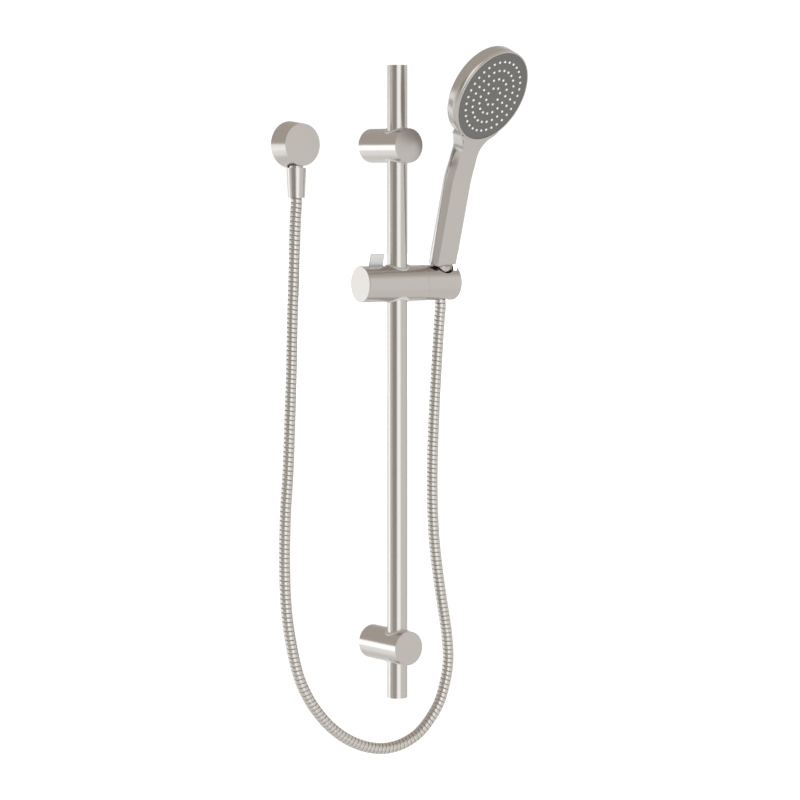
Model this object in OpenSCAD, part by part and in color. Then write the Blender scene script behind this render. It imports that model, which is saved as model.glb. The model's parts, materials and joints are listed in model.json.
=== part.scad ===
// Handheld shower head on a slide rail, with its wall outlet and metal hose.
// Millimetres. The wall is the plane y = 0, the shower stands toward -y, z is up,
// and the origin is the centre of the upper post where it meets the wall.

/* [Rail and posts] */
// Rail tube radius
rail_r = 12.5; // [10:0.5:16]
// Rail axis to wall
rail_gap = 51.5; // [40:0.5:70]
// Rail top above the upper post's axis
rail_top = 98; // [60:1:150]
// Rail foot below the upper post's axis
rail_foot = 682; // [500:1:900]
// Post radius
post_r = 21; // [18:0.5:26]
// Post length from the wall
post_long = 75; // [70:1:90]
// Lower post's axis below the upper one
post_spacing = 618; // [400:1:800]
// Radius of the plastic sleeves around the rail
sleeve_r = 15.45; // [14.5:0.05:17]
// How far the sleeves' rims stand out
rim_proud = 1; // [0.5:0.1:2]

/* [Wall outlet] */
// Outlet axis to the left of the rail
outlet_x = 123.6; // [100:0.1:200]
// Outlet axis above the upper post's axis
outlet_z = 1; // [-20:1:20]
// Outlet radius at the wall
outlet_back_r = 28.5; // [25:0.5:34]
// Outlet radius at the front
outlet_front_r = 25.5; // [20:0.5:30]
// Outlet depth
outlet_deep = 26; // [22:0.5:32]
// Hose axis to wall at the outlet
drop_gap = 12.5; // [12:0.5:16]

/* [Hose] */
// Hose radius
hose_r = 7; // [6:0.5:8]
// Conical nut radius at its wide end
nut_wide_r = 12; // [11.5:0.25:13]
// Conical nut radius at its narrow end
nut_narrow_r = 10.25; // [10:0.25:11]
// Conical nut length at the outlet
nut_long = 36; // [30:1:45]
// Conical nut length at the handset
handset_nut_long = 26; // [24:1:40]

/* [Slider and holder] */
// Slider axis below the upper post's axis
slider_drop = 168.5; // [100:0.5:580]
// Slider's turn about the rail
slider_turn = -4; // [-30:1:30]
// Slider and holder radius
barrel_r = 22.2; // [20:0.1:26]
// Left end of the slider
slider_left = 53.9; // [50:0.1:60]
// Seam between slider and holder
seam_x = 31.4; // [28:0.1:36]
// Right end of the holder
holder_right = 82.5; // [78:0.5:90]
// Nut socket's place along the holder
socket_x = 62.5; // [60:0.5:66]
// Nut socket radius
socket_r = 14.5; // [13.5:0.1:15]
// Holder's tilt toward the user
holder_tilt = 17.5; // [0:0.5:40]
// Release tab's lean toward the user
tab_lean = 16; // [12:1:20]

/* [Handset] */
// Handset's turn about its own handle
handset_turn = 14; // [-30:1:30]
// Handle foot above the holder's axis
handle_foot = 24.5; // [23:0.5:30]
// Head centre above the holder's axis, along the handle
head_up = 248.2; // [200:0.1:280]
// Head face in front of the handle's axis
head_out = 31.3; // [20:0.1:45]
// Head's pitch against the handle
head_pitch = 9.1; // [0:0.1:20]
// Head radius
head_r = 59; // [50:0.5:70]
// Head depth
head_deep = 19.5; // [15:0.5:24]
// Spray face radius
face_r = 57; // [48:0.5:68]
// Step between nozzle circles
nozzle_step = 11.35; // [9:0.05:13]
// Turn of the nozzle pattern
nozzle_turn = -2.7; // [-5:0.1:5]

/* [Hidden] */
$fn = 96;

// Sizes shared by mating pieces
gap = 0.05;              // radial gap between two pieces of one body
turn_gap = 0.1;          // radial gap where one piece turns or slides in another
thread_r = 10.4;         // male G1/2 thread, drawn plain
cap_thick = 2;
plate_r = 17.8;          // wall plate inside a post
plate_thick = 14;
screw_spread = 9;        // wall screw holes either side of the post's axis
nut_bore_r = 10.5;
ferrule_r = 7.5;
shoe_r = 8;
hub_r = 12.42;
hub_bore_r = 12.5;
spindle_r = 6.95;
section_r = 11;          // round sides of the handle's section
section_x = 9.1;
section_back = 1;        // their centres behind the handle's axis
section_front = 7.4;
tab_back = 4.4;          // tab's front face behind the plane through its axis
elbow_bend = 160;        // where the water tube bends, above the holder's axis
elbow_lean = 21.6;

// Hose route from below the outlet nut to below the handset nut
hose_route = [
  [-125, -12.5, -88], [-126.5, -12.5, -120], [-128, -12.5, -165], [-130, -12.5, -211],
  [-132, -13, -272], [-134.5, -13, -332], [-138, -14, -393], [-143, -15, -450],
  [-145, -16, -515], [-142.5, -18, -576], [-130.5, -20, -638], [-114, -21, -675],
  [-90, -22, -706], [-66, -23, -726.5], [-42, -24, -740], [-18, -25, -748],
  [6, -26, -750.5], [32, -27, -746], [57, -28, -732.5], [80.5, -30, -704],
  [91, -32, -673], [94.5, -33, -646], [92, -34, -618], [87.5, -35, -595],
  [76.5, -37, -544], [67.5, -39, -492], [63, -41, -441], [61.5, -43, -391],
  [62, -45, -341], [63.5, -47, -291], [65.5, -49, -241], [66, -51.5, -212],
  [65.5, -53.8, -195]
];

// ---- small functions ----

function unit(v) = v / norm(v);
function last(list) = len(list) - 1;

// Direction of a route at its point i
function heading(route, i) =
  unit(route[min(i + 1, last(route))] - route[max(i - 1, 0)]);

// Point between b and c on a smooth curve through a, b, c and d
function between(a, b, c, d, t) =
  0.5 * (2 * b + (c - a) * t + (2 * a - 5 * b + 4 * c - d) * t * t
  + (3 * b - a - 3 * c + d) * t * t * t);

// A smooth route through points, with one more point in each gap
function smoothed(p) = concat(
  [for (i = [0:last(p) - 1], t = [0, 0.5])
    between(p[max(i - 1, 0)], p[i], p[i + 1], p[min(i + 2, last(p))], t)],
  [p[last(p)]]
);

// One ring of a round bar, square to its heading
function ring(centre, along, side, r, n) =
  let (a = unit(cross(along, side)), b = cross(a, along))
  [for (k = [0:n - 1]) centre + r * (cos(360 * k / n) * a + sin(360 * k / n) * b)];

// Points of a coil around the z axis
function coil_route(r, low, high, turns, n) =
  [for (i = [0:turns * n])
    [r * cos(360 * i / n), r * sin(360 * i / n), low + (high - low) * i / (turns * n)]];

// The slider's and holder's directions in the wall's frame
function turned(v) = [
  v[0] * cos(slider_turn) - v[1] * sin(slider_turn),
  v[0] * sin(slider_turn) + v[1] * cos(slider_turn),
  v[2]
];
cone_up = turned([0, -sin(holder_tilt), cos(holder_tilt)]);
socket_at = [0, -rail_gap, -slider_drop] + turned([socket_x, 0, 0]);
nut_top = handle_foot - 0.6;
nut_foot = nut_top - handset_nut_long;
hose_points = concat(
  [[-outlet_x, -drop_gap, outlet_z - 64.6], [-outlet_x, -drop_gap, outlet_z - 72]],
  hose_route,
  [socket_at + (nut_foot - 8) * cone_up, socket_at + (nut_foot - 2.4) * cone_up]
);

// ---- small modules ----

// A round bar along a route
module bar(route, side, r, n) {
  count = len(route);
  points = [for (i = [0:count - 1]) each ring(route[i], heading(route, i), side, r, n)];
  walls = [for (i = [0:count - 2], k = [0:n - 1])
    [i * n + k, i * n + (k + 1) % n, (i + 1) * n + (k + 1) % n, (i + 1) * n + k]];
  start = [for (k = [n - 1:-1:0]) k];
  end = [for (k = [0:n - 1]) (count - 1) * n + k];
  polyhedron(points, concat(walls, [start, end]), convexity = 8);
}

// Cylinder that runs away from the wall, starting at depth y
module out_from_wall(y, long, r) {
  translate([0, -y, 0])
    rotate([90, 0, 0])
      cylinder(h = long, r = r);
}

// Cylinder along x, from x
module along_x(x, long, r) {
  translate([x, 0, 0])
    rotate([0, 90, 0])
      cylinder(h = long, r = r);
}

// Tube between two radii, from height z
module tube(z, long, inner, outer) {
  translate([0, 0, z])
    difference() {
      cylinder(h = long, r = outer);
      translate([0, 0, -1])
        cylinder(h = long + 2, r = inner);
    }
}

module at_outlet() {
  translate([-outlet_x, 0, outlet_z])
    children();
}

module at_drop() {
  translate([-outlet_x, -drop_gap, outlet_z])
    children();
}

module at_slider() {
  translate([0, -rail_gap, -slider_drop])
    rotate([0, 0, slider_turn])
      children();
}

module at_socket() {
  at_slider()
    translate([socket_x, 0, 0])
      rotate([holder_tilt, 0, 0])
        children();
}

module at_handset() {
  at_socket()
    rotate([0, 0, handset_turn])
      children();
}

// The spray face's frame: x across, y up the face, z out of it
module at_face() {
  at_handset()
    translate([0, -head_out, head_up])
      rotate([90 + head_pitch, 0, 0])
        children();
}

// Places for the nozzles on four circles, every other circle half a step on
module at_nozzles() {
  for (circle = [1:4], k = [0:8 * circle - 1])
    rotate([0, 0, nozzle_turn + (k + (circle % 2) / 2) * 45 / circle])
      translate([circle * nozzle_step, 0, 0])
        children();
}

// ---- rail and posts ----

module rail_tube() {
  color("silver")
    translate([0, -rail_gap, 0])
      tube(-rail_foot + 1.5, rail_top + rail_foot - 3, rail_r - 1.5, rail_r);
}

module rail_cap() {
  cylinder(h = 1.5, r = rail_r);
  translate([0, 0, -8])
    cylinder(h = 8.5, r = rail_r - 1.5 - gap);
}

module rail_cap_top() {
  color("silver")
    translate([0, -rail_gap, rail_top - 1.5])
      rail_cap();
}

module rail_cap_foot() {
  color("silver")
    translate([0, -rail_gap, 1.5 - rail_foot])
      rotate([180, 0, 0])
        rail_cap();
}

// Post with the rail through it, open at the wall for its plate
module post() {
  color("silver")
    difference() {
      out_from_wall(0, post_long, post_r);
      out_from_wall(-1, 29, plate_r + 0.2);
      translate([0, -rail_gap, -30])
        cylinder(h = 60, r = sleeve_r + gap);
      out_from_wall(post_long - cap_thick, 3, post_r - 0.75);
      out_from_wall(post_long - 20, 20, 3 + turn_gap);
      translate([0, -8, -30])
        cylinder(h = 20, r = 2 + turn_gap);
    }
}

// Plastic sleeve between post and rail, its rims standing just out of the post
module post_sleeve() {
  color("lightgray")
    difference() {
      intersection() {
        translate([0, -rail_gap, -30])
          cylinder(h = 60, r = sleeve_r);
        out_from_wall(20, 60, post_r + rim_proud);
      }
      translate([0, -rail_gap, -40])
        cylinder(h = 80, r = rail_r + gap);
      out_from_wall(rail_gap, 30, 3 + turn_gap);
    }
}

module post_cap() {
  color("silver")
    out_from_wall(post_long - cap_thick, cap_thick, post_r - 0.8);
}

// Plate screwed to the wall, which the post slips over
module wall_plate() {
  color("gray")
    difference() {
      out_from_wall(0, plate_thick, plate_r);
      for (side = [-1, 1])
        translate([side * screw_spread, 0, 0]) {
          out_from_wall(-1, plate_thick + 2, 2.6);
          out_from_wall(6, plate_thick, 5);
        }
      translate([0, -8, -plate_r - 1])
        cylinder(h = 5, r = 2 + turn_gap);
    }
}

module post_upper() post();
module post_upper_sleeve() post_sleeve();
module post_upper_cap() post_cap();
module post_upper_wall_plate() wall_plate();

module lower() {
  translate([0, 0, -post_spacing])
    children();
}

module post_lower() lower() post();
module post_lower_sleeve() lower() post_sleeve();
module post_lower_cap() lower() post_cap();
module post_lower_wall_plate() lower() wall_plate();

// Screw under each post that holds it on its plate
module grub_screw() {
  difference() {
    translate([0, -8, -20.4])
      cylinder(h = 5.8, r = 2);
    translate([-3, -8.4, -21])
      cube([6, 0.8, 1.6]);
  }
}

module post_grub_screws() {
  color("dimgray") {
    grub_screw();
    lower() grub_screw();
  }
}

// Screw behind each cap that presses on the rail
module clamp_screw() {
  difference() {
    out_from_wall(rail_gap + rail_r + gap, 8, 3);
    translate([-4, -rail_gap - rail_r - 9, -0.5])
      cube([8, 2, 1]);
  }
}

module rail_clamp_screws() {
  color("dimgray") {
    clamp_screw();
    lower() clamp_screw();
  }
}

// ---- wall outlet ----

module outlet_cover() {
  color("silver")
    at_outlet()
      difference() {
        rotate([90, 0, 0])
          cylinder(h = outlet_deep, r1 = outlet_back_r, r2 = outlet_front_r);
        translate([0, 1, 0])
          rotate([90, 0, 0])
            cylinder(h = outlet_deep - 1, r1 = outlet_back_r - 2, r2 = outlet_front_r - 2);
        translate([0, -drop_gap, -40])
          cylinder(h = 30, r = 8.5 + gap);
        translate([0, -drop_gap, -40])
          cylinder(h = 12.2, r = nut_wide_r + 0.3);
      }
}

// Brass elbow that takes the water down to the hose
module outlet_elbow() {
  color("goldenrod")
    at_outlet()
      difference() {
        union() {
          out_from_wall(1, 22, 15);
          translate([0, -drop_gap, -29])
            cylinder(h = 29, r = 8.5);
          translate([0, -drop_gap, -38])
            cylinder(h = 9.5, r = thread_r);
        }
        translate([0, -drop_gap, -39])
          cylinder(h = 39, r = 6.5);
        out_from_wall(0, 12.5, 6.5);
        out_from_wall(0, 6, 8 + gap);
      }
}

// Male G1/2 thread that screws into the wall fitting
module outlet_nipple() {
  color("goldenrod")
    at_outlet()
      difference() {
        union() {
          out_from_wall(-14, 14, 10.48);
          out_from_wall(-0.5, 6.5, 8);
        }
        out_from_wall(-15, 22, 6.4);
      }
}

module outlet_wall_seal() {
  color("black")
    at_outlet()
      difference() {
        out_from_wall(0, 0.9, outlet_back_r - 2.5);
        out_from_wall(-1, 3, 11);
      }
}

// Cage of the check valve: a seat above and a spider below
module check_valve_cage() {
  color("white")
    at_drop()
      difference() {
        translate([0, 0, -30])
          cylinder(h = 16, r = 6.5 - gap);
        translate([0, 0, -28.5])
          cylinder(h = 12.5, r = 5.2);
        translate([0, 0, -17])
          cylinder(h = 4, r = 3);
        translate([0, 0, -31])
          cylinder(h = 4, r = 1.1);
        for (k = [0:3])
          rotate([0, 0, 90 * k + 45])
            translate([3.3, 0, -31])
              cylinder(h = 4, r = 1.2);
      }
}

module check_valve_poppet() {
  color("white")
    at_drop() {
      translate([0, 0, -17.9])
        cylinder(h = 1.8, r = 4.2);
      translate([0, 0, -30.5])
        cylinder(h = 13, r = 1);
    }
}

module check_valve_spring() {
  color("silver")
    at_drop()
      bar(coil_route(2.2, -28.2, -18.2, 6, 16), [0, 0, 1], 0.25, 8);
}

// ---- hose and its nuts ----

// Conical nut, wide end up, that turns on the ferrule inside it
module hose_nut(top, long) {
  color("silver")
    translate([0, 0, top])
      rotate_extrude()
        polygon([
          [nut_bore_r, 0], [nut_wide_r, 0], [nut_narrow_r, -long],
          [ferrule_r + turn_gap, -long], [ferrule_r + turn_gap, -14.5],
          [nut_bore_r, -14.5]
        ]);
}

// Flanged ferrule that the nut pulls against the washer
module ferrule(top, long) {
  color("goldenrod")
    translate([0, 0, top])
      rotate_extrude()
        polygon([
          [4.8, -12], [thread_r, -12], [thread_r, -14], [ferrule_r, -14],
          [ferrule_r, -long], [4.8, -long]
        ]);
}

module washer(top) {
  color("black")
    tube(top - 12, 2, 5.5, thread_r);
}

module outlet_hose_nut() at_drop() hose_nut(-28, nut_long);
module outlet_ferrule() at_drop() ferrule(-28, nut_long);
module outlet_washer() at_drop() washer(-28);

module hose() {
  color("silver")
    bar(smoothed(hose_points), [0, 1, 0], hose_r, 12);
}

// ---- slider ----

module slider_barrel() {
  color("silver")
    at_slider()
      difference() {
        along_x(cap_thick - slider_left, slider_left - cap_thick + seam_x, barrel_r);
        translate([0, 0, -30])
          cylinder(h = 60, r = sleeve_r + gap);
        along_x(-slider_left, slider_left - 20.8, hub_bore_r);
        along_x(-22, 10, shoe_r + turn_gap);
        translate([-41.6, -3.6, 8])
          cube([20.2, 11.6, 17]);
        along_x(10, 10, 10);
        along_x(15, 20, spindle_r + turn_gap);
      }
}

// Flat end disc with a spigot that keeps the release hub in place
module slider_end_cap() {
  color("silver")
    at_slider()
      difference() {
        union() {
          along_x(cap_thick - slider_left, 8.6, hub_bore_r - gap);
          translate([-slider_left, 0, 0])
            rotate([0, 90, 0])
              cylinder(h = 0.6, r1 = barrel_r - 0.6, r2 = barrel_r);
          along_x(0.6 - slider_left, cap_thick - 0.6, barrel_r);
        }
        along_x(cap_thick - slider_left, 10, hub_bore_r - 2);
      }
}

module slider_sleeve() {
  color("lightgray")
    at_slider()
      difference() {
        intersection() {
          translate([0, 0, -30])
            cylinder(h = 60, r = sleeve_r);
          along_x(-30, 60, barrel_r + rim_proud);
        }
        translate([0, 0, -40])
          cylinder(h = 80, r = rail_r + 0.08);
        along_x(-20, 20, shoe_r + 0.3);
        for (z = [-14.1, 9.9])
          translate([0, 0, z])
            cylinder(h = 4.2, r = 14);
      }
}

// Split rings that grip the rail and let the slider swing around it
module glide_rings() {
  color("white")
    at_slider()
      for (z = [-14, 10])
        difference() {
          tube(z, 4, rail_r + 0.03, 13.9);
          translate([0, -1, z - 1])
            cube([20, 2, 6]);
        }
}

module seam_ring() {
  color("lightgray")
    at_slider()
      difference() {
        along_x(seam_x, 0.8, barrel_r - 0.2);
        along_x(seam_x - 1, 3, spindle_r + turn_gap);
      }
}

// Hub behind the release tab, which turns about the slider's axis
module release_hub() {
  color("goldenrod")
    at_slider()
      difference() {
        along_x(-43, 22, hub_r);
        rotate([tab_lean, 0, 0])
          translate([-41.3, tab_back - 0.05, 3.95])
            cube([19.6, 3.1, 10]);
        along_x(-44, 30, 2);
      }
}

module release_tab() {
  color("lightsteelblue")
    at_slider()
      rotate([tab_lean, 0, 0])
        translate([-41.25, tab_back, 4])
          cube([19.5, 3, 32.4]);
}

// Shoe that presses on the rail from the left
module brake_shoe() {
  color("dimgray")
    at_slider()
      difference() {
        along_x(-19.3, 10, shoe_r);
        along_x(-20, 4.5, 5.6);
        translate([0, 0, -10])
          cylinder(h = 20, r = rail_r + 0.35);
      }
}

module brake_spring() {
  color("silver")
    at_slider()
      rotate([0, 90, 0])
        bar(coil_route(4.6, -20.5, -16, 4, 16), [0, 0, 1], 0.4, 8);
}

// ---- holder ----

// Barrel with a rounded end, a tilted round socket and a notch beside it
module holder_barrel() {
  color("silver")
    at_slider()
      difference() {
        union() {
          along_x(seam_x + 0.9, holder_right - seam_x - 3.9, barrel_r);
          translate([holder_right - 3, 0, 0])
            rotate([0, 90, 0]) {
              cylinder(h = 3, r = barrel_r - 3);
              rotate_extrude()
                translate([barrel_r - 3, 0])
                  intersection() {
                    circle(r = 3);
                    square(3);
                  }
            }
        }
        translate([socket_x, 0, 0])
          rotate([holder_tilt, 0, 0])
            translate([0, 0, -30])
              cylinder(h = 60, r = socket_r);
        translate([socket_x + 6, -5, 14.5])
          cylinder(h = 10, r = socket_r);
        along_x(seam_x, 16, 7);
      }
}

// Plastic insert with a cone that the hose nut wedges in
module holder_insert() {
  color("dimgray")
    at_socket()
      rotate_extrude()
        polygon([
          [nut_narrow_r + 0.1, -16], [socket_r - gap, -16], [socket_r - gap, 7.5],
          [socket_r - 1, 9], [cone_r(9) + turn_gap, 9],
          [cone_r(nut_foot) + turn_gap, nut_foot]
        ]);
}

// Radius of the seated nut at height z in the socket
function cone_r(z) =
  nut_narrow_r + (nut_wide_r - nut_narrow_r) * (z - nut_foot) / handset_nut_long;

// Headed spindle that the holder tilts on
module tilt_spindle() {
  color("goldenrod")
    at_slider() {
      along_x(16.2, 2.8, 9.8);
      along_x(18.9, 26.5, spindle_r);
    }
}

// Spring washer under the spindle's head, which gives the tilt its friction
module tilt_washer() {
  color("silver")
    at_slider()
      difference() {
        along_x(19.1, 0.8, 9.8);
        along_x(18, 3, spindle_r + turn_gap);
      }
}

// ---- nut and inlet under the handset ----

module handset_hose_nut() at_socket() hose_nut(nut_top, handset_nut_long);
module handset_ferrule() at_socket() ferrule(nut_top, handset_nut_long);
module handset_washer() at_socket() washer(nut_top);

module handset_inlet() {
  color("goldenrod")
    at_handset()
      difference() {
        union() {
          translate([0, 0, nut_top - 10])
            cylinder(h = handle_foot - nut_top + 10, r = thread_r);
          translate([0, 0, handle_foot])
            cylinder(h = 11.5, r = 5.4);
        }
        translate([0, 0, nut_top - 11])
          cylinder(h = 30, r = 3.6);
        translate([0, 0, nut_top - 11])
          cylinder(h = 7, r = 6);
        tube(handle_foot + 6, 1.8, 4.3, 6);
      }
}

// Disc in the inlet that limits the flow
module flow_restrictor() {
  color("white")
    at_handset()
      difference() {
        translate([0, 0, nut_top - 9])
          cylinder(h = 5, r = 6 - gap);
        for (k = [0:5])
          rotate([0, 0, 60 * k])
            translate([3.2, 0, nut_top - 10])
              cylinder(h = 7, r = 0.6);
      }
}

module inlet_o_ring() {
  color("black")
    at_handset()
      tube(handle_foot + 6.1, 1.6, 4.35, 5.42);
}

// ---- handset ----

// The handle's section: round sides, a flat front, drawn inset by a wall
module handle_section(inset) {
  r = section_r - inset;
  intersection() {
    union() {
      for (side = [-1, 1])
        translate([side * section_x, section_back])
          circle(r = r);
      translate([-section_x, section_back - r])
        square([2 * section_x, 2 * r]);
    }
    translate([-30, inset - section_front])
      square([60, 40]);
  }
}

// A thin slice of the neck at height z, drawn forward by out and scaled across
module neck_slice(z, out, across) {
  translate([0, -out, z])
    linear_extrude(1)
      scale([across, 1])
        handle_section(0, $fn = 24);
}

// Bent waterway: up the handle, then forward into the head
module waterway(r, low) {
  translate([0, 0, low])
    cylinder(h = elbow_bend - low, r = r);
  translate([0, 0, elbow_bend])
    sphere(r = r);
  translate([0, 0, elbow_bend])
    rotate([elbow_lean, 0, 0])
      cylinder(h = 42, r = r);
}

module waterway_tube() {
  color("white")
    difference() {
      at_handset()
        waterway(6, 36.1);
      at_handset()
        waterway(4.5, 35);
      at_face() {
        translate([0, 0, -head_deep])
          cylinder(h = head_deep, r = face_r - 0.9);
        translate([0, 0, -6])
          cylinder(h = 20, r = head_r + gap);
      }
    }
}

// Handle, neck and the back of the head in one hollow shell
module handset_shell() {
  color("silver")
    difference() {
      union() {
        at_handset() {
          translate([0, 0, handle_foot])
            linear_extrude(150 - handle_foot)
              handle_section(0);
          hull() {
            neck_slice(148, 0, 1);
            neck_slice(170, 5, 1.03);
          }
          hull() {
            neck_slice(170, 5, 1.03);
            neck_slice(194, 14.4, 1.4);
          }
        }
        at_face() {
          translate([0, 0, 4 - head_deep])
            cylinder(h = head_deep - 9.5, r = head_r);
          translate([0, 0, -head_deep])
            cylinder(h = 4, r1 = head_r - 3, r2 = head_r);
        }
      }
      at_face() {
        translate([0, 0, 2 - head_deep])
          cylinder(h = head_deep + 20, r = face_r - 0.5);
        translate([0, 0, -6])
          cylinder(h = 20, r = head_r + gap);
      }
      at_handset() {
        translate([0, 0, handle_foot - 1])
          cylinder(h = 20, r = 5.45);
        waterway(6 + gap, handle_foot + 11.5);
        translate([0, 0, 42])
          linear_extrude(106)
            handle_section(2.2);
      }
    }
}

module head_rim() {
  color("silver")
    at_face()
      tube(-6, 6.6, face_r + 2 * gap, head_r);
}

module spray_plate() {
  color("gray")
    at_face()
      difference() {
        translate([0, 0, -3])
          cylinder(h = 3, r = face_r);
        at_nozzles()
          translate([0, 0, -4])
            cylinder(h = 6, r = 1.6, $fn = 24);
      }
}

// Soft mat whose nozzles stand through the plate
module nozzle_mat() {
  color("white")
    at_face() {
      translate([0, 0, -5])
        cylinder(h = 2, r = face_r - 3);
      at_nozzles()
        translate([0, 0, -3.5])
          cylinder(h = 4.6, r1 = 1.5, r2 = 1.1, $fn = 24);
    }
}

// Cup behind the mat that spreads the water
module spray_chamber() {
  color("white")
    at_face()
      difference() {
        translate([0, 0, -13.5])
          cylinder(h = 8.5, r = face_r - 1);
        translate([0, 0, -11.5])
          cylinder(h = 10, r = face_r - 3.5);
        translate([0, -face_r, -9])
          rotate([-90, 0, 0])
            cylinder(h = 8, r = 2.4);
      }
}

module chamber_seal() {
  color("black")
    at_face()
      tube(-5, 2, face_r - 2.9, face_r - 1);
}

rail_tube();
rail_cap_top();
rail_cap_foot();
post_upper();
post_upper_sleeve();
post_upper_cap();
post_upper_wall_plate();
post_lower();
post_lower_sleeve();
post_lower_cap();
post_lower_wall_plate();
post_grub_screws();
rail_clamp_screws();
outlet_cover();
outlet_elbow();
outlet_nipple();
outlet_wall_seal();
check_valve_cage();
check_valve_poppet();
check_valve_spring();
outlet_hose_nut();
outlet_ferrule();
outlet_washer();
hose();
slider_barrel();
slider_end_cap();
slider_sleeve();
glide_rings();
seam_ring();
release_hub();
release_tab();
brake_shoe();
brake_spring();
holder_barrel();
holder_insert();
tilt_spindle();
tilt_washer();
handset_hose_nut();
handset_ferrule();
handset_washer();
handset_inlet();
flow_restrictor();
inlet_o_ring();
waterway_tube();
handset_shell();
head_rim();
spray_plate();
nozzle_mat();
spray_chamber();
chamber_seal();
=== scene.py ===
"""Handheld shower on a slide rail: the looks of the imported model."""
import json
import math

import bpy
import numpy as np
from mathutils import Matrix, Vector


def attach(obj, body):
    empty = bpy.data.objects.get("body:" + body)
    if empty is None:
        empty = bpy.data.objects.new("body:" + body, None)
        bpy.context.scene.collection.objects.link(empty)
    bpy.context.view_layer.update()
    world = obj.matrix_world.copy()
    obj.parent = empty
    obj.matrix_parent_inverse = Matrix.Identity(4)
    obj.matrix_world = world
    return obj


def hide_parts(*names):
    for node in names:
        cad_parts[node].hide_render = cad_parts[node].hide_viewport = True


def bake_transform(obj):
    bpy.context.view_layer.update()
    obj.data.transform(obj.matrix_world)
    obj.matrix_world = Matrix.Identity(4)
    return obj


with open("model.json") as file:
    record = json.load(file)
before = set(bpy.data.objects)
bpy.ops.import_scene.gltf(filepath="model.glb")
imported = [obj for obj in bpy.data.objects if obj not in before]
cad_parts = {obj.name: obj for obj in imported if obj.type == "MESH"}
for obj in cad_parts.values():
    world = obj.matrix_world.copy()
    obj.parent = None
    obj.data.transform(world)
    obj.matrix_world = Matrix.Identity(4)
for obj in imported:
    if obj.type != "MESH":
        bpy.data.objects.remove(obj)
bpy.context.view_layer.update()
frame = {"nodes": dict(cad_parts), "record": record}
MM = 0.001

# ---- measures that repeat the CAD model's, in millimetres and degrees ----

RAIL_GAP = 51.5
SLIDER_DROP = 168.5
SLIDER_TURN = -4
SOCKET_X = 62.5
HOLDER_TILT = 17.5
HANDSET_TURN = 14
HANDLE_FOOT = 24.5
NUT_TOP = HANDLE_FOOT - 0.6
NUT_LONG = 26
NUT_FOOT = NUT_TOP - NUT_LONG
OUTLET_X = -123.6
OUTLET_Z = 1
DROP_GAP = 12.5
HEAD_UP = 248.2
HEAD_OUT = 31.3
HEAD_PITCH = 9.1
HEAD_R = 59
HEAD_DEEP = 19.5
FACE_R = 57
NOZZLE_CIRCLES = 4
NOZZLE_STEP = 11.35
NOZZLE_TURN = -2.7
SECTION_X = 9.1
SECTION_R = 11
SECTION_BACK = 1
SECTION_FRONT = 7.4
TAB_LEAN = 16
TAB_LOW = (-41.2, 4.4, 8)
TAB_HIGH = (-21.8, 7.4, 36.3)
HOSE_R = 7

# The hose's route below the outlet nut, as in the CAD model
HOSE_ROUTE = [
    (-125, -12.5, -88), (-126.5, -12.5, -120), (-128, -12.5, -165), (-130, -12.5, -211),
    (-132, -13, -272), (-134.5, -13, -332), (-138, -14, -393), (-143, -15, -450),
    (-145, -16, -515), (-142.5, -18, -576), (-130.5, -20, -638), (-114, -21, -675),
    (-90, -22, -706), (-66, -23, -726.5), (-42, -24, -740), (-18, -25, -748),
    (6, -26, -750.5), (32, -27, -746), (57, -28, -732.5), (80.5, -30, -704),
    (91, -32, -673), (94.5, -33, -646), (92, -34, -618), (87.5, -35, -595),
    (76.5, -37, -544), (67.5, -39, -492), (63, -41, -441), (61.5, -43, -391),
    (62, -45, -341), (63.5, -47, -291), (65.5, -49, -241), (66, -51.5, -212),
    (65.5, -53.8, -195),
]

# ---- measures of the looks only ----

# Top of the hose at the outlet nut, and its straight length out of each nut
HOSE_TOP = OUTLET_Z - 64
HOSE_STRAIGHT = 8
# The wound hose's pitch, the depth of its groove and the crown of its ridge
HOSE_PITCH = 5.6
GROOVE_DEEP = 0.5
RIDGE_CROWN = 0.16
# Half widths of the groove and of its bottom, which is painted in shade, as parts of the pitch
GROOVE_HALF = 0.14
SHADE_HALF = 0.07
RINGS_PER_PITCH = 14
# Where the hose is cut into pieces, measured back from its handset end
SWING_CUT = 285
TILT_CUT = 175
END_CUT = 86
# The small bevel between the handle's side and front, and how flat the side is
CREASE = 0.9
SIDE_FLAT = 0.85
SIDE_STEPS = 18
# The rounding of the squared section's back corners, and how far its sides stand out
SQUARE_CORNER = 4
SQUARE_OUT = 0.4
# Spacing and number of the rows of the handle's loft above its foot
LOFT_STEP = 2.5
LOFT_ROWS = 72
# Above this height the neck stays this far behind the plane of the face's front
NECK_UNDER_RIM = 180
NECK_BEHIND = 1.3
# Where the neck has entered the head it stays this far behind that plane
NECK_INSIDE = 5
# Rounding of the head's back edge, and the height of the seam between head and rim
HEAD_CORNER = 4
RIM_SEAM = -1.1
# The studio's dome and floor, in metres
DOME_R = 12
DOME_Z = -0.33
FLOOR_Z = -1.25


# ---- frames of the moving pieces ----

def move(x, y, z):
    return Matrix.Translation((x * MM, y * MM, z * MM))


def turn(degrees, axis):
    return Matrix.Rotation(math.radians(degrees), 4, axis)


SLIDER = move(0, -RAIL_GAP, -SLIDER_DROP) @ turn(SLIDER_TURN, "Z")
SOCKET = SLIDER @ move(SOCKET_X, 0, 0) @ turn(HOLDER_TILT, "X")
HANDSET = SOCKET @ turn(HANDSET_TURN, "Z")
FACE = HANDSET @ move(0, -HEAD_OUT, HEAD_UP) @ turn(90 + HEAD_PITCH, "X")


# ---- camera ----

CAMERA_AT = (-2.2208, -2.9893, -0.0184)
CAMERA_YAW = 37.14
CAMERA_PITCH = 4.56


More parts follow.
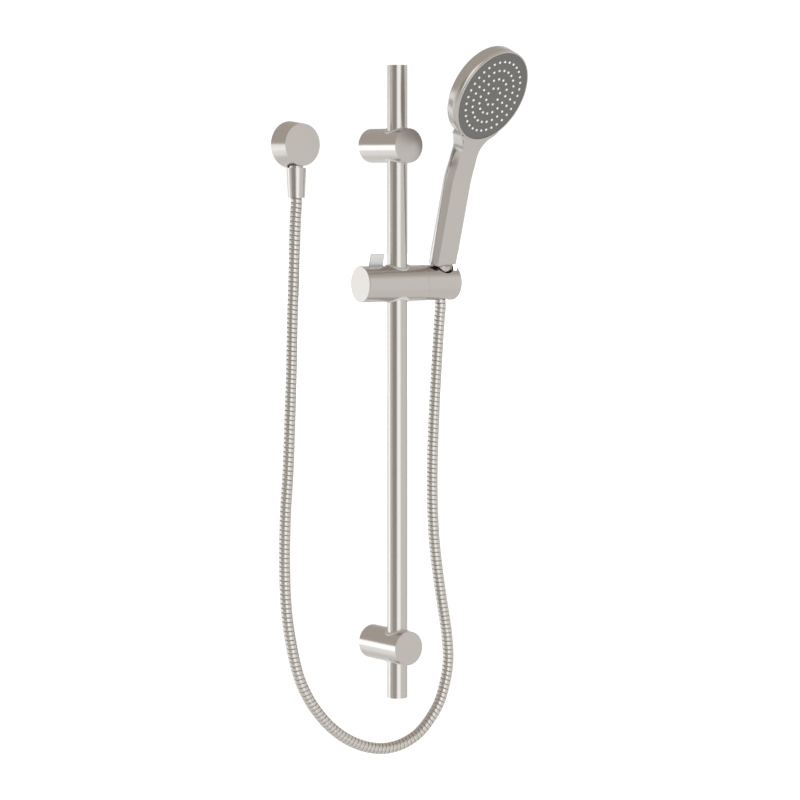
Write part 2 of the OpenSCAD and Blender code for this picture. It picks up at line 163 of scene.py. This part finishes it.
def camera():
    data = bpy.data.cameras.new("camera")
    data.lens = 135
    data.sensor_width = 36
    data.clip_start = 0.1
    data.clip_end = 40
    cam = bpy.data.objects.new("camera", data)
    cam.location = CAMERA_AT
    cam.rotation_euler = (math.radians(90 - CAMERA_PITCH), 0, math.radians(-CAMERA_YAW))
    bpy.context.scene.collection.objects.link(cam)
    bpy.context.scene.camera = cam


camera()


# ---- small mesh tools ----

def new_mesh(name, points, faces):
    mesh = bpy.data.meshes.new(name)
    mesh.from_pydata([tuple(p) for p in points], [], [tuple(f) for f in faces])
    mesh.validate()
    mesh.update()
    mesh.shade_smooth()
    piece = bpy.data.objects.new(name, mesh)
    bpy.context.scene.collection.objects.link(piece)
    return piece


def grid_faces(rows, columns):
    """Quads between rows of points; each row is a ring."""
    return [
        (i * columns + k, i * columns + (k + 1) % columns,
         (i + 1) * columns + (k + 1) % columns, (i + 1) * columns + k)
        for i in range(rows - 1) for k in range(columns)
    ]


def lathe(name, profile, place, steps=192):
    """A turned piece: (radius, height) points in millimetres around place's z axis."""
    rows = []
    for r, z in profile:
        for k in range(steps):
            a = 2 * math.pi * k / steps
            rows.append((r * MM * math.cos(a), r * MM * math.sin(a), z * MM))
    piece = new_mesh(name, rows, grid_faces(len(profile), steps))
    piece.matrix_world = place
    return piece


def arc(cx, cz, r, start, end, steps):
    """Points of an arc in a profile, in degrees from the radius axis."""
    angles = [math.radians(start + (end - start) * i / steps) for i in range(steps + 1)]
    return [(cx + r * math.cos(a), cz + r * math.sin(a)) for a in angles]


def ease(t):
    """Smooth step from 0 to 1."""
    t = min(max(t, 0), 1)
    return t * t * (3 - 2 * t)


# ---- materials ----

def material(name, colour, metallic=0.0, rough=0.5):
    m = bpy.data.materials.new(name)
    m.use_nodes = True
    shader = m.node_tree.nodes["Principled BSDF"]
    shader.inputs["Base Color"].default_value = (*colour, 1)
    shader.inputs["Metallic"].default_value = metallic
    shader.inputs["Roughness"].default_value = rough
    return m


def add_grain(m, scale, stretch, strength, distance=0.0001):
    """A fine bump; stretch is the noise's scale along each axis."""
    nodes, links = m.node_tree.nodes, m.node_tree.links
    place = nodes.new("ShaderNodeTexCoord")
    spread = nodes.new("ShaderNodeMapping")
    spread.inputs["Scale"].default_value = stretch
    noise = nodes.new("ShaderNodeTexNoise")
    noise.inputs["Scale"].default_value = scale
    noise.inputs["Detail"].default_value = 4
    bump = nodes.new("ShaderNodeBump")
    bump.inputs["Strength"].default_value = strength
    bump.inputs["Distance"].default_value = distance
    links.new(place.outputs["Object"], spread.inputs["Vector"])
    links.new(spread.outputs["Vector"], noise.inputs["Vector"])
    links.new(noise.outputs["Fac"], bump.inputs["Height"])
    links.new(bump.outputs["Normal"], nodes["Principled BSDF"].inputs["Normal"])


NICKEL = material("nickel", (0.64, 0.63, 0.615), metallic=1, rough=0.22)
NICKEL_FLAT = material("nickel_flat", (0.64, 0.63, 0.615), metallic=1, rough=0.25)
HOSE_METAL = material("hose_metal", (0.70, 0.69, 0.67), metallic=1, rough=0.28)
# A near-black metal laid on the bottom of the hose's groove: painted shade in the recess
PAINTED_GROOVE_SHADE = material("hose_groove_painted_shade", (0.20, 0.19, 0.18), metallic=1, rough=0.4)
SLEEVE = material("sleeve", (0.66, 0.67, 0.67), rough=0.25)
TAB = material("tab_plastic", (0.76, 0.80, 0.82), rough=0.35)
FACE_GREY = material("face_grey", (0.135, 0.14, 0.14), rough=0.6)
NOZZLE = material("nozzle_rubber", (0.93, 0.93, 0.92), rough=0.4)
DARK = material("dark_plastic", (0.02, 0.02, 0.022), rough=0.4)
WHITE = material("white_plastic", (0.82, 0.82, 0.80), rough=0.45)
BRASS = material("brass", (0.78, 0.60, 0.30), metallic=1, rough=0.3)
STEEL = material("steel", (0.5, 0.5, 0.51), metallic=1, rough=0.3)
ZINC = material("zinc", (0.55, 0.55, 0.56), metallic=1, rough=0.5)
SEAL = material("seal_rubber", (0.03, 0.03, 0.03), rough=0.6)
add_grain(NICKEL, 900, (1, 1, 0.06), 0.05)
add_grain(FACE_GREY, 700, (1, 1, 1), 0.5, 0.0006)

# The look of each material slot in the record
FINISH = {
    "nickel": NICKEL,
    "nickel_plated": NICKEL,
    "nickel_disc": NICKEL_FLAT,
    "plated_brass": NICKEL,
    "sleeve_grey": SLEEVE,
    "tab_grey": TAB,
    "face_grey": FACE_GREY,
    "nozzle": NOZZLE,
    "plastic_dark": DARK,
    "plastic_white": WHITE,
    "brass": BRASS,
    "steel": STEEL,
    "wall_plate_metal": ZINC,
    "seal": SEAL,
}


def paint(piece, finish):
    piece.data.materials.clear()
    piece.data.materials.append(finish)


def paint_nodes():
    for part in frame["record"]["subparts"]:
        paint(frame["nodes"][part["node"]], FINISH[part["material_slot"]])


# ---- hose ----

def smooth_curve(points, step):
    """Points step apart on a smooth curve through the given ones."""
    p = np.array(points, float)
    ends = np.vstack([2 * p[0] - p[1], p, 2 * p[-1] - p[-2]])
    fine = []
    for i in range(len(p) - 1):
        a, b, c, d = ends[i:i + 4]
        for t in np.arange(0, 1, 0.02):
            fine.append(0.5 * (2 * b + (c - a) * t + (2 * a - 5 * b + 4 * c - d) * t ** 2
                               + (3 * b - a - 3 * c + d) * t ** 3))
    fine = np.array(fine + [p[-1]])
    run = np.concatenate([[0], np.cumsum(np.linalg.norm(np.diff(fine, axis=0), axis=1))])
    even = np.linspace(0, run[-1], max(2, round(run[-1] / step) + 1))
    return np.column_stack([np.interp(even, run, fine[:, k]) for k in range(3)]), even


def hose_line():
    """The hose's centre line from the outlet nut to the handset nut, and the run along it."""
    up = SOCKET.to_3x3() @ Vector((0, 0, 1))
    socket = SOCKET.translation / MM
    top = [(OUTLET_X, -DROP_GAP, HOSE_TOP), (OUTLET_X, -DROP_GAP, HOSE_TOP - HOSE_STRAIGHT)]
    foot = [tuple(socket + (NUT_FOOT - HOSE_STRAIGHT) * up), tuple(socket + NUT_FOOT * up)]
    return smooth_curve(top + HOSE_ROUTE + foot, HOSE_PITCH / RINGS_PER_PITCH)


def spiral_phase(run, angle):
    """How far through the winding's pitch each point is, from 0 to 1."""
    return (run[:, None] / HOSE_PITCH - angle[None, :] / (2 * np.pi)) % 1


def spiral_tube(name, line, run, steps=24):
    """A tube with the ridge and the groove of a wound metal hose along it; the groove's bottom is
    painted shade.
    """
    heading = np.gradient(line, axis=0)
    heading /= np.linalg.norm(heading, axis=1)[:, None]
    side = np.cross(heading, (0.0, 1.0, 0.0))
    side /= np.linalg.norm(side, axis=1)[:, None]
    other = np.cross(side, heading)
    angle = 2 * np.pi * np.arange(steps) / steps
    phase = spiral_phase(run, angle)
    groove = np.clip(1 - np.abs(phase - 0.5) / GROOVE_HALF, 0, 1)
    ridge = (2 * ((phase + 0.5) % 1) - 1) ** 2
    radius = HOSE_R - GROOVE_DEEP * groove - RIDGE_CROWN * ridge
    points = (line[:, None, :]
              + radius[..., None] * (np.cos(angle)[None, :, None] * side[:, None, :]
                                     + np.sin(angle)[None, :, None] * other[:, None, :]))
    piece = new_mesh(name, points.reshape(-1, 3) * MM, grid_faces(len(line), steps))
    for finish in (HOSE_METAL, PAINTED_GROOVE_SHADE):
        piece.data.materials.append(finish)
    half_ring = 0.036 * HOSE_PITCH
    middle = spiral_phase(run[:-1] + half_ring, angle + np.pi / steps)
    # Faces along the middle of the groove get the near-black metal: painted shade
    shade_faces = (np.abs(middle - 0.5) < SHADE_HALF).astype(np.int32)
    piece.data.polygons.foreach_set("material_index", shade_faces.ravel())
    return piece


def hose():
    """The hose in pieces: down to its lowest point, up again, and three short ones near the handset."""
    line, run = hose_line()
    total = run[-1]
    print("hose length", round(total, 1))
    low = int(np.argmin(line[:, 2]))
    swing = int(np.searchsorted(run, total - SWING_CUT))
    tilt = int(np.searchsorted(run, total - TILT_CUT))
    end = int(np.searchsorted(run, total - END_CUT))
    cuts = {
        "hose_left": (0, low),
        "hose_right": (low, swing),
        "hose_swing": (swing, tilt),
        "hose_tilt": (tilt, end),
        "hose_end": (end, len(line) - 1),
    }
    pieces = {}
    for name, (a, b) in cuts.items():
        part = slice(a, b + 1)
        pieces[name] = {
            "mesh": spiral_tube(name, line[part], run[part]),
            "path": line[part],
            "length": run[b] - run[a],
        }
    return pieces


def declare_hose(pieces):
    for part in pieces.values():
        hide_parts("hose")
    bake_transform(pieces["hose_left"]["mesh"])
    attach(pieces["hose_right"]["mesh"], "glide")
    for name, a, b in (("hose_swing", "glide", "slider"), ("hose_tilt", "slider", "holder"),
                       ("hose_end", "holder", "hose_end")):
        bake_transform(pieces[name]["mesh"])


# ---- handset ----

def handle_side(wide, square):
    """One side of the handle's section, front to back: sloped, or upright where it is square."""
    cut = math.degrees(math.asin((SECTION_FRONT + SECTION_BACK) / SECTION_R))
    sloped = arc(SECTION_X, SECTION_BACK, SECTION_R, -cut + 3, 90, SIDE_STEPS)
    edge = SECTION_X + SECTION_R * math.cos(math.radians(cut))
    first_x, first_y = sloped[0]
    slope = (SECTION_X + SECTION_R - first_x) / (SECTION_BACK - first_y)
    for i, (x, y) in enumerate(sloped):
        if y < SECTION_BACK:
            chord = first_x + slope * (y - first_y)
            sloped[i] = (x + SIDE_FLAT * (chord - x), y)
    corner = SECTION_BACK + SECTION_R - SQUARE_CORNER
    front = CREASE - SECTION_FRONT
    wall = edge + SQUARE_OUT
    upright = [(wall, front + (corner - front) * i / 10) for i in range(10)]
    upright += arc(wall - SQUARE_CORNER, corner, SQUARE_CORNER, 0, 90, 8)
    points = [(x + (u - x) * square + wide, y + (v - y) * square)
              for (x, y), (u, v) in zip(sloped, upright)]
    return [(points[0][0] - CREASE, -SECTION_FRONT)] + points


def handle_ring(wide, square):
    """Outline of the handle's section: a side, the back, the other side and the flat front."""
    side = handle_side(wide, square)
    back_x, back_y = side[-1]
    back = [(back_x * (1 - i / 4), back_y) for i in range(1, 8)]
    front_x = side[0][0]
    front = [(front_x * (i / 6 - 1), -SECTION_FRONT) for i in range(1, 12)]
    return side + back + [(-x, y) for x, y in reversed(side)] + front


def neck_out(z):
    """How far the handle's centre has come forward at height z."""
    lean = 16 * (max(z - 130, 0) / 70) ** 1.7
    return lean + 2.4 * ease((z - 186) / 10) - 1.2 * ease((z - 150) / 20)


def neck_wide(z):
    """How much wider than the handle the neck is on each side at height z."""
    return min(0.0235 * max(z - 170, 0) ** 2, 17.5) - 0.7 * ease((z - 145) / 15)


def tucked_in(point, z):
    """Keeps a point of the neck behind the rim, and inside the head where it has entered it."""
    local = FACE.inverted() @ point
    if z > NECK_UNDER_RIM:
        local.z = min(local.z, -NECK_BEHIND * MM)
    if math.hypot(local.x, local.y) < (FACE_R - 0.5) * MM:
        local.z = max(min(local.z, -NECK_INSIDE * MM), (1 - HEAD_DEEP) * MM)
    return FACE @ local


def handle():
    """Handle and neck in one loft from the foot into the head."""
    heights = [HANDLE_FOOT, HANDLE_FOOT + 0.6]
    heights += [HANDLE_FOOT + LOFT_STEP * i for i in range(1, LOFT_ROWS + 1)]
    rows = []
    for z in heights:
        shrink = 0.97 if z == HANDLE_FOOT else 1
        for x, y in handle_ring(neck_wide(z), ease((z - 150) / 30)):
            point = HANDSET @ Vector((x * shrink * MM, (y * shrink - neck_out(z)) * MM, z * MM))
            rows.append(tucked_in(point, z))
    count = len(rows) // len(heights)
    foot = list(range(count - 1, -1, -1))
    piece = new_mesh("handle", rows, grid_faces(len(heights), count) + [foot])
    piece.data.set_sharp_from_angle(angle=math.radians(15))
    return piece


def head_back():
    profile = [(0.01, -HEAD_DEEP), (30, -HEAD_DEEP), (50, -HEAD_DEEP)]
    profile += arc(HEAD_R - HEAD_CORNER, HEAD_CORNER - HEAD_DEEP, HEAD_CORNER, -90, 0, 10)
    profile += [(HEAD_R, -9), (HEAD_R, RIM_SEAM), (FACE_R + 0.3, RIM_SEAM)]
    return lathe("head_back", profile, FACE)


def rim():
    """The thin bright ring around the spray face."""
    inner, outer = FACE_R + 0.1, HEAD_R
    profile = [(inner, -3), (outer - 0.4, -3), (outer - 0.4, -1.05), (outer, -1.05), (outer, -0.6)]
    profile += arc(outer - 1.1, -0.5, 1.1, 0, 90, 6)
    profile += [(inner + 0.2, 0.6), (inner, 0.4), (inner, -3)]
    return lathe("rim", profile, FACE)


def nozzles():
    """The round nozzles, in circles of 8, 16, 24 and 32."""
    profile = [(1.58, -4.2), (1.58, 0.3), (1.5, 0.8), (1.2, 1.05), (0.5, 1.1), (0.01, 0.95)]
    steps = 16
    points, faces = [], []
    for circle in range(1, NOZZLE_CIRCLES + 1):
        for k in range(8 * circle):
            a = math.radians(NOZZLE_TURN + (k + (circle % 2) / 2) * 45 / circle)
            cx = circle * NOZZLE_STEP * math.cos(a)
            cy = circle * NOZZLE_STEP * math.sin(a)
            base = len(points)
            for r, z in profile:
                for s in range(steps):
                    t = 2 * math.pi * s / steps
                    points.append(FACE @ Vector(((cx + r * math.cos(t)) * MM,
                                                 (cy + r * math.sin(t)) * MM, z * MM)))
            faces += [tuple(base + i for i in f) for f in grid_faces(len(profile), steps)]
    return new_mesh("nozzles", points, faces)


# ---- slider ----

def soften(piece, width):
    """Rounds a piece's edges."""
    bevel = piece.modifiers.new("soften", "BEVEL")
    bevel.width = width * MM
    bevel.segments = 3
    bevel.limit_method = "ANGLE"
    bevel.angle_limit = math.radians(40)
    piece.data.shade_smooth()


def tab():
    """The thumb tab that frees the slider."""
    bpy.ops.mesh.primitive_cube_add(size=1)
    piece = bpy.context.active_object
    piece.name = "tab"
    size = [h - l for l, h in zip(TAB_LOW, TAB_HIGH)]
    centre = [(h + l) / 2 for l, h in zip(TAB_LOW, TAB_HIGH)]
    piece.data.transform(Matrix.Diagonal([s * MM for s in size] + [1]))
    piece.matrix_world = SLIDER @ turn(TAB_LEAN, "X") @ move(*centre)
    soften(piece, 0.7)
    return piece


# ---- node tools ----

def ramp(nodes, links, value, stops):
    """A colour ramp through (position, colour) stops, read at value."""
    node = nodes.new("ShaderNodeValToRGB")
    band = node.color_ramp
    band.interpolation = "EASE"
    for i, (at, colour) in enumerate(stops):
        stop = band.elements[i] if i < 2 else band.elements.new(at)
        stop.position = at
        stop.color = (*colour, 1)
    links.new(value, node.inputs["Fac"])
    return node.outputs["Color"]


def mixed(nodes, links, amount, first, second):
    """From the first colour socket towards the second colour, by amount."""
    node = nodes.new("ShaderNodeMix")
    node.data_type = "RGBA"
    links.new(amount, node.inputs[0])
    links.new(first, node.inputs[6])
    node.inputs[7].default_value = (*second, 1)
    return node.outputs[2]


def math_node(nodes, links, kind, a, b=0.0, c=0.0):
    node = nodes.new("ShaderNodeMath")
    node.operation = kind
    for k, value in enumerate((a, b, c)):
        if isinstance(value, (int, float)):
            node.inputs[k].default_value = value
        else:
            links.new(value, node.inputs[k])
    return node.outputs[0]


# ---- studio ----

def grey(level):
    return (level, level, level)


def clear(level):
    return (level, level * 0.99, level * 0.98)


def warm(level):
    return (level, level * 0.95, level * 0.91)


def brown(level):
    return (level, level * 0.89, level * 0.79)


# Direction of the camera from the object, about the vertical
FRONT = 180 + 90 - CAMERA_YAW
# Light around the object at eye level, by turns from behind it, going left to right
AROUND = [
    (0.00, clear(0.42)), (0.08, clear(0.48)), (0.16, clear(0.545)), (0.24, clear(0.56)),
    (0.30, warm(0.40)), (0.38, brown(0.20)), (0.475, brown(0.17)), (0.503, clear(0.62)),
    (0.54, clear(0.70)), (0.585, clear(0.68)), (0.63, warm(0.42)), (0.72, warm(0.42)),
    (0.82, warm(0.40)), (0.95, warm(0.36)),
]
# A bright window on the left: across by turns, up by height from 0 at the bottom to 1
WINDOW = clear(0.95)
WINDOW_ACROSS = [(0.183, grey(0)), (0.193, grey(1)), (0.22, grey(1)), (0.235, grey(0))]
WINDOW_UP = [(0.35, grey(0)), (0.365, grey(1)), (0.525, grey(1)), (0.54, grey(0))]
# The darker ceiling: how low it comes by turns, 1 being lowest, and its soft edge by height
CEILING = brown(0.26)
CEILING_LOW = [
    (0.12, grey(0.25)), (0.17, grey(1)), (0.26, grey(1)), (0.33, grey(0.23)),
    (0.45, grey(0.23)), (0.52, grey(0.15)), (0.60, grey(0.15)), (0.67, grey(0.11)),
]
CEILING_EDGE = [(0.045, grey(0)), (0.085, grey(1))]
# The ground, and the light it throws up on the front left: by turns, and by depth below eye level
GROUND = warm(0.40)
GROUND_EDGE = [(0.52, grey(0)), (0.62, grey(1))]
BOUNCE_ACROSS = [(0.29, grey(0)), (0.33, grey(0.55)), (0.46, grey(0.55)), (0.49, grey(0))]
BOUNCE_EDGE = [(0.16, grey(0)), (0.26, grey(1))]
TENT_STRENGTH = 2.0


def tent_turns(nodes, links, x, y):
    """Turns around the object, from 0 behind it through 0.5 at the camera's side to 1."""
    towards = math.radians(FRONT)
    across = math_node(nodes, links, "ADD", math_node(nodes, links, "MULTIPLY", x, -math.sin(towards)),
                       math_node(nodes, links, "MULTIPLY", y, math.cos(towards)))
    along = math_node(nodes, links, "ADD", math_node(nodes, links, "MULTIPLY", x, math.cos(towards)),
                      math_node(nodes, links, "MULTIPLY", y, math.sin(towards)))
    angle = math_node(nodes, links, "ARCTAN2", across, along)
    return math_node(nodes, links, "MULTIPLY_ADD", angle, 1 / (2 * math.pi), 0.5)


def tent_light(nodes, links, turns, height):
    """The tent's colour: light around it, then window, ceiling, bounce and ground over that."""
    from_bottom = math_node(nodes, links, "MULTIPLY_ADD", height, 0.5, 0.5)
    window = math_node(nodes, links, "MULTIPLY", ramp(nodes, links, turns, WINDOW_ACROSS),
                       ramp(nodes, links, from_bottom, WINDOW_UP))
    raised = math_node(nodes, links, "MULTIPLY", height, ramp(nodes, links, turns, CEILING_LOW))
    down = math_node(nodes, links, "MULTIPLY", height, -1)
    bounce = math_node(nodes, links, "MULTIPLY", ramp(nodes, links, turns, BOUNCE_ACROSS),
                       ramp(nodes, links, down, BOUNCE_EDGE))
    level = ramp(nodes, links, turns, AROUND)
    level = mixed(nodes, links, window, level, WINDOW)
    level = mixed(nodes, links, ramp(nodes, links, raised, CEILING_EDGE), level, CEILING)
    level = mixed(nodes, links, bounce, level, GROUND)
    return mixed(nodes, links, ramp(nodes, links, down, GROUND_EDGE), level, GROUND)


def studio_dome():
    """A soft tent of light that the metal reflects; the camera looks through it."""
    bpy.ops.mesh.primitive_uv_sphere_add(segments=64, ring_count=32, radius=DOME_R,
                                         location=(0, 0, DOME_Z))
    dome = bpy.context.active_object
    dome.name = "studio_dome"
    dome.data.shade_smooth()
    m = bpy.data.materials.new("studio_dome")
    m.use_nodes = True
    nodes, links = m.node_tree.nodes, m.node_tree.links
    nodes.clear()
    place = nodes.new("ShaderNodeTexCoord")
    split = nodes.new("ShaderNodeSeparateXYZ")
    links.new(place.outputs["Object"], split.inputs[0])
    x, y, z = split.outputs
    turns = tent_turns(nodes, links, x, y)
    height = math_node(nodes, links, "MULTIPLY", z, 1 / DOME_R)
    glow = nodes.new("ShaderNodeEmission")
    links.new(tent_light(nodes, links, turns, height), glow.inputs["Color"])
    glow.inputs["Strength"].default_value = TENT_STRENGTH
    out = nodes.new("ShaderNodeOutputMaterial")
    links.new(glow.outputs[0], out.inputs["Surface"])
    paint(dome, m)
    dome.visible_camera = False
    dome.visible_shadow = False
    return dome


def floor():
    bpy.ops.mesh.primitive_plane_add(size=60, location=(0, 0, FLOOR_Z))
    piece = bpy.context.active_object
    piece.name = "floor"
    m = material("floor", (0.95, 0.95, 0.95), rough=0.9)
    shader = m.node_tree.nodes["Principled BSDF"]
    shader.inputs["Emission Color"].default_value = (1, 1, 1, 1)
    shader.inputs["Emission Strength"].default_value = 0.6
    paint(piece, m)
    piece.visible_glossy = False
    return piece


def studio():
    world = bpy.data.worlds.new("studio")
    world.use_nodes = True
    background = world.node_tree.nodes["Background"]
    background.inputs["Color"].default_value = (1, 1, 1, 1)
    background.inputs["Strength"].default_value = 1.1
    bpy.context.scene.world = world
    bpy.context.scene.view_settings.view_transform = "Standard"
    studio_dome()
    floor()


# ---- assembly ----

def assemble():
    hose_pieces = hose()
    paint_nodes()
    parts = [
        (handle(), "handset", "handset_shell", "nickel_plated"),
        (head_back(), "handset", "handset_shell", "nickel_plated"),
        (rim(), "handset", "head_rim", "nickel_plated"),
        (nozzles(), "handset", "nozzle_mat", "nozzle"),
        (tab(), "release", "release_tab", "tab_grey"),
    ]
    for piece, body, node, slot in parts:
        paint(piece, FINISH[slot])
        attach(piece, body)
        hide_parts(node)
    declare_hose(hose_pieces)


assemble()
studio()
